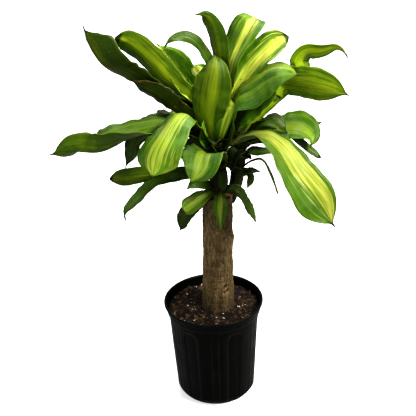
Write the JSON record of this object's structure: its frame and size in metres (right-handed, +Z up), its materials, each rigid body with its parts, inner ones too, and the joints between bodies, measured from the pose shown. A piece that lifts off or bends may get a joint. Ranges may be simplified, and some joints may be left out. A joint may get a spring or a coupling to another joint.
{
  "type": "potted corn plant",
  "caption": "Potted corn plant: one thick woody cane with two shoots of striped strap leaves, in a black ribbed nursery pot of soil.",
  "frame": {"origin": "centre of the pot's flat underside", "axes": "+Z up; -Y is the side that faces the viewer in the picture; +X is to the viewer's right, towards the shorter shoot"},
  "size_m": [0.5646, 0.374, 0.8202],
  "materials": {
    "pot_plastic": "thin black blow-moulded plastic, satin, slightly scuffed",
    "potting_soil": "moist brown bark and peat mix with white perlite grains",
    "cane_bark": "dry grey-brown bark with upright furrows, knots and faint rings",
    "leaf": "glossy leaf, deep green margins and a lime-yellow middle stripe, olive underside"
  },
  "bodies": {
    "root": {"nursery_pot": "pot_plastic", "potting_soil": "potting_soil", "cane": "cane_bark", "main_leafy_shoot": "leaf", "side_leafy_shoot": "leaf"}
  },
  "joints": []
}
